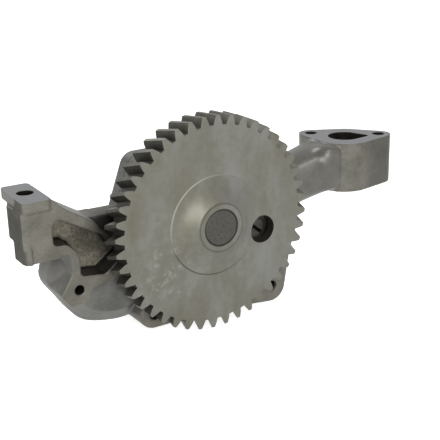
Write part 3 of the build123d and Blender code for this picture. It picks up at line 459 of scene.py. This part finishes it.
# The cover bolts' holes, told from the drive axis, and the holes' radii, in millimetres
BOLT_PLACES = [(-20.5, 26), (34, 30), (65, -32), (-40, -12), (57.6, -64), (-38, -61)]
BOLT_HOLE_R, FLANGE_HOLE_R, BRACKET_HOLE_R, LEG_HOLE_R, PLUG_HOLE_R = 4.0, 4.5, 5.5, 3.4, 8.1
PUMP_CHAMBER_R = 24.75
for right, above in BOLT_PLACES:
    snap_to_bore(casting, DRIVE_AXIS + Vector((right, 0, above)) * MM, 1, BOLT_HOLE_R, -21, 20)
flange_turn = math.radians(-40)
for side in (-24.85, 24.85):
    hole = Vector((side * math.cos(flange_turn), side * math.sin(flange_turn), 0)) * MM
    snap_to_bore(casting, hole, 2, FLANGE_HOLE_R, -37, 1)
snap_to_bore(casting, Vector((-251, 2, 0)) * MM, 2, BRACKET_HOLE_R, -27.5, 1)
snap_to_bore(casting, Vector((-228, 0, -64)) * MM, 1, LEG_HOLE_R, -19, -3, 0.7)
snap_to_bore(casting, Vector((-94.5, 0, -49.3)) * MM, 1, PLUG_HOLE_R, -20.5, -5, 0.7)
for gear_middle in (DRIVE_AXIS, DRIVE_AXIS + Vector((12.63, 0, -40.06)) * MM):
    snap_to_bore(casting, gear_middle, 1, PUMP_CHAMBER_R, -4.5, 19.5, 0.7)
crease(casting, 40)

# The pocket's outline in the arm, told from the drive axis, in millimetres
POCKET_OUTLINE = [(-105.6, 1.0), (-105.6, 15), (-101, 19.6), (-69, 2), (-64, -6), (-55, -12), (-71, -25.2),
                  (-89.5, -23), (-88.6, -10), (-91, -5), (-96.5, 0.2)]


def in_pocket(place):
    """Whether a point, told from the drive axis, lies inside the pocket cast in the arm."""
    crossings = 0
    for (x0, z0), (x1, z1) in zip(POCKET_OUTLINE, POCKET_OUTLINE[1:] + POCKET_OUTLINE[:1]):
        if (z0 > place.z) != (z1 > place.z) and place.x < x0 + (place.z - z0) * (x1 - x0) / (z1 - z0):
            crossings += 1
    return crossings % 2 == 1


# The bores whose walls are painted near black, for old oil and the shade inside them: the axis that they run
# along, their middle, and their radius.
# The port's three circles come first.
DARK_BORES = [(2, -5.1, -6.1, 12), (2, 1.2, -10.3, 7.4), (2, 7.4, -14.5, 2.5),
              (2, -19.04, 15.97, FLANGE_HOLE_R), (2, 19.04, -15.97, FLANGE_HOLE_R),
              (2, -251, 2, BRACKET_HOLE_R), (1, -228, -64, LEG_HOLE_R)]
DARK_BORES += [(1, -138 + right, -33 + above, BOLT_HOLE_R) for right, above in BOLT_PLACES]


def in_dark_bore(place):
    """Whether a point, in millimetres, is below the mouth of one of the bores painted dark."""
    for axis, first, second, radius in DARK_BORES:
        across = (place.x, place.y) if axis == 2 else (place.x, place.z)
        under = -42 < place.z < -0.4 if axis == 2 else -17.4 < place.y < 18
        if under and math.hypot(across[0] - first, across[1] - second) < radius + 0.7:
            return True
    return False


# The finishes in the order of the faces' slots. The cast skin has slot 0.
MILLED, POCKET_FLOOR, OIL_AND_SHADE_WALL, CHAMBER, TUBE, BRACKET_SIDE = range(1, 7)
HOUSING_FINISHES = [housing_iron, flange_iron, pocket_iron, oil_and_shade_wall_iron, smooth_iron, oily_iron, side_shade_iron]
POCKET_REAR_Y = ARM_FRONT_Y + 18 * MM
for face in casting.faces:
    middle = face.calc_center_median()
    if abs(middle.z) < 0.02 * MM and not PAD_RIGHT_X < middle.x < FLANGE_LEFT_X:
        face.material_index = MILLED
    elif ARM_FRONT_Y + 0.7 * MM < middle.y < POCKET_REAR_Y and in_pocket((middle - DRIVE_AXIS) / MM):
        # The pocket's walls are painted near black: old oil and painted shade in the recess
        face.material_index = POCKET_FLOOR if face.normal.y < -0.85 else OIL_AND_SHADE_WALL
    elif in_dark_bore(middle / MM):
        face.material_index = OIL_AND_SHADE_WALL
    elif middle.x < CHAMBER_RIGHT_X and middle.z < CHAMBER_TOP_Z and middle.y > CHAMBER_FRONT_Y:
        face.material_index = CHAMBER
    elif on_right_arm(middle / MM):
        face.material_index = TUBE
    # The bracket's left-facing side gets painted shade
    elif middle.x < BRACKET_LEFT_X and face.normal.x < -0.7:
        face.material_index = BRACKET_SIDE


def rim_distance(place):
    """How far a point, told from the drive axis, is from the pocket's outline, in millimetres."""
    nearest = 1e9
    for (x0, z0), (x1, z1) in zip(POCKET_OUTLINE, POCKET_OUTLINE[1:] + POCKET_OUTLINE[:1]):
        along = (place.x - x0) * (x1 - x0) + (place.z - z0) * (z1 - z0)
        along = min(max(along / ((x1 - x0) ** 2 + (z1 - z0) ** 2), 0.0), 1.0)
        nearest_x, nearest_z = along * (x1 - x0), along * (z1 - z0)
        nearest = min(nearest, math.hypot(place.x - x0 - nearest_x, place.z - z0 - nearest_z))
    return nearest


# How much painted shade there is: it thickens over the flange's side, and lies thick along the pocket's rim
FLANK_PAINTED_SHADE, FLANK_PAINTED_SHADE_WIDTH = 0.42, 9 * MM
RIM_PAINTED_SHADE, RIM_PAINTED_SHADE_MM = 0.9, 3.6
painted_shade_layer = casting.verts.layers.float.new("painted_shade_film")
for vert in casting.verts:
    told = (vert.co - DRIVE_AXIS) / MM
    if vert.co.x > FLANK_LEFT_X and vert.co.z < 0:
        vert[painted_shade_layer] = min((vert.co.x - FLANK_LEFT_X) / FLANK_PAINTED_SHADE_WIDTH, 1.0) * FLANK_PAINTED_SHADE
    if ARM_FRONT_Y + 3 * MM < vert.co.y < POCKET_REAR_Y and in_pocket(told):
        vert[painted_shade_layer] = RIM_PAINTED_SHADE * max(0.0, 1.0 - rim_distance(told) / RIM_PAINTED_SHADE_MM)
mesh = housing.data
mesh.materials.clear()
for finish in HOUSING_FINISHES:
    mesh.materials.append(finish)
casting.to_mesh(mesh)
casting.free()
stand_for(housing, "pump_housing", "housing")


# The drive gear: edges eased as after deburring, its face turned, and its teeth darkened by oil and painted
# shade nearest the arm
TOOTH_FLANK, TOOTH_LAND, HOLE_WALL = range(1, 4)
teeth = merged_copy("drive_gear")
bmesh.ops.dissolve_limit(teeth, angle_limit=math.radians(1.0), verts=teeth.verts, edges=teeth.edges)
crease(teeth, 25)
for face in teeth.faces:
    middle = face.calc_center_median() - DRIVE_AXIS
    radius = math.hypot(middle.x, middle.z)
    if radius > TOOTH_ZONE_R and abs(face.normal.y) < 0.8:
        outward = Vector((middle.x, 0, middle.z)).normalized()
        on_land = radius > LAND_R and face.normal.dot(outward) > 0.9
        face.material_index = TOOTH_LAND if on_land else TOOTH_FLANK
    # The access hole's wall gets the dark finish: painted shade
    elif abs(face.normal.y) < 0.5 and (middle - ACCESS_HOLE).length < 16 * MM:
        face.material_index = HOLE_WALL
gear = as_object(teeth, "drive_gear_turned", [gear_face_steel, tooth_steel, land_steel, hole_shade_steel])
easing = gear.modifiers.new("deburred edges", "BEVEL")
easing.width = 0.5 * MM
easing.segments = 2
easing.limit_method = "ANGLE"
easing.angle_limit = math.radians(30)
applied(gear)
stand_for(gear, "drive_gear", "drive")


def dress(node_name, body, finish, edge_mm, inside=None):
    """Give a plain CAD piece eased edges and smooth shading, and its slot another finish if one is named."""
    shape = merged_copy(node_name)
    bmesh.ops.dissolve_limit(shape, angle_limit=math.radians(0.5), verts=shape.verts, edges=shape.edges)
    crease(shape, 30)
    finishes = [finish]
    if inside is not None:
        finishes.append(inside)
        front = min(vert.co.y for vert in shape.verts)
        low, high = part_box(node_name)
        for face in shape.faces:
            middle = face.calc_center_median()
            rim = max(abs(middle.x - (low[0] + high[0]) / 2), abs(middle.z - (low[2] + high[2]) / 2))
            if front + 0.3 * MM < middle.y < front + 3 * MM and rim < 6 * MM:
                face.material_index = 1
    piece = as_object(shape, node_name + "_finished", finishes)
    edges = piece.modifiers.new("eased edges", "BEVEL")
    edges.width = edge_mm * MM
    edges.segments = 2
    edges.limit_method = "ANGLE"
    edges.angle_limit = math.radians(35)
    applied(piece)
    stand_for(piece, node_name, body)
    return piece


dress("rear_cover", "housing", cover_iron, 0.4)
dress("cover_bolts", "housing", bolt_steel, 0.4)
dress("cover_washers", "housing", washer_steel, 0.2)
dress("relief_plug", "housing", bolt_steel, 0.5)
dress("relief_seal_ring", "housing", seal_aluminium, 0.2)
# The plug's slot is painted black: painted shade
dress("gallery_plug", "housing", plug_steel, 0.2, slot_shade_black)
dress("drive_shaft", "drive", shaft_steel, 0.3)
dress("rear_washer", "drive", washer_steel, 0.2)
dress("retaining_ring", "drive", spring_steel, 0.2)

# The relief spring: shaded smooth over its coils, with a mesh of its own
coil = merged_copy("relief_spring")
crease(coil, 50)
relief_spring = as_object(coil, "relief_spring_coil", [spring_steel])
stand_for(relief_spring, "relief_spring", "housing")
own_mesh(relief_spring)


# Pale floor under the pump's lowest point, which shows white but keeps the shadow
floor_shape = bmesh.new()
bmesh.ops.create_circle(floor_shape, cap_ends=True, segments=64, radius=6.0)
bmesh.ops.translate(floor_shape, verts=floor_shape.verts, vec=(-0.14, 0, cad_low.z - 0.5 * MM))
floor_paint, floor_tree, floor_shader = start_material("floor_matt_white", 0.0, 0.9, "#ffffff", 0.1)[:3]
floor = as_object(floor_shape, "studio_floor", [floor_paint])


# What the camera and shiny surfaces see of the surround is white. The floor adds most of that white by
# itself, so that only a faint shadow is left on it.
def seen_rays(tree):
    """One for camera, mirror and transmission rays, and zero for the soft light that falls on the pump."""
    rays = add(tree, "ShaderNodeLightPath", {})
    sharp = add(tree, "ShaderNodeMath",
                {0: rays.outputs["Is Camera Ray"], 1: rays.outputs["Is Glossy Ray"]}, operation="MAXIMUM")
    return add(tree, "ShaderNodeMath",
               {0: sharp.outputs[0], 1: rays.outputs["Is Transmission Ray"]}, operation="MAXIMUM").outputs[0]


floor_glow = add(floor_tree, "ShaderNodeEmission", {"Color": linear("#ffffff")})
glow_share = add(floor_tree, "ShaderNodeMath", {0: seen_rays(floor_tree), 1: FLOOR_GLOW},
                 operation="MULTIPLY")
floor_tree.links.new(glow_share.outputs[0], floor_glow.inputs["Strength"])
floor_sum = add(floor_tree, "ShaderNodeAddShader", {0: floor_shader.outputs[0], 1: floor_glow.outputs[0]})
floor_tree.links.new(floor_sum.outputs[0], floor_tree.nodes["Material Output"].inputs["Surface"])

world = bpy.data.worlds.new("studio_surround")
world.use_nodes = True
bpy.context.scene.world = world
sky = world.node_tree
sky.nodes.clear()
room = add(sky, "ShaderNodeBackground", {"Color": linear("#ffffff"), "Strength": ROOM_LIGHT})
white = add(sky, "ShaderNodeBackground", {"Color": linear("#ffffff"), "Strength": 1.0})
choice = add(sky, "ShaderNodeMixShader", {"Fac": seen_rays(sky), 1: room.outputs[0], 2: white.outputs[0]})
add(sky, "ShaderNodeOutputWorld", {"Surface": choice.outputs[0]})


def softbox(name, place, width, height, watts):
    """A studio lamp that faces the pump."""
    lamp = bpy.data.lights.new(name, "AREA")
    lamp.shape = "RECTANGLE"
    lamp.size = width
    lamp.size_y = height
    lamp.energy = watts
    lamp_object = bpy.data.objects.new(name, lamp)
    lamp_object.location = place
    lamp_object.rotation_mode = "QUATERNION"
    lamp_object.rotation_quaternion = (PUMP_MIDDLE - Vector(place)).to_track_quat("-Z", "Y")
    bpy.context.scene.collection.objects.link(lamp_object)


softbox("key_front_left", (-0.52, -1.2, 0.33), 0.5, 0.8, 10)
softbox("strip_above", (-0.15, -0.75, 1.0), 0.4, 0.3, 3.4)
softbox("behind_above", (-0.35, 0.9, 1.05), 0.5, 0.5, 6)

# Camera: the photograph's viewpoint, a little to the left and above
turn, tilt, roll = math.radians(31.9), math.radians(19.2), math.radians(-1.36)
forward = Vector((math.sin(turn) * math.cos(tilt), math.cos(turn) * math.cos(tilt), -math.sin(tilt)))
level_right = Vector((math.cos(turn), -math.sin(turn), 0))
level_up = level_right.cross(forward)
right_way = level_right * math.cos(roll) + level_up * math.sin(roll)
up_way = level_up * math.cos(roll) - level_right * math.sin(roll)
lens = bpy.data.cameras.new("view_of_photograph")
lens.sensor_width = 36.0
lens.lens = 36.0 * FOCAL_LENGTH_PX / PHOTO_SIDE_PX
lens.clip_start = 0.01
lens.clip_end = 50
camera = bpy.data.objects.new("view_of_photograph", lens)
bpy.context.scene.collection.objects.link(camera)
stand = Matrix((right_way, up_way, -forward)).transposed().to_4x4()
stand.translation = CAMERA_PLACE
camera.matrix_world = stand
bpy.context.scene.camera = camera

bpy.context.scene.view_settings.view_transform = "Standard"
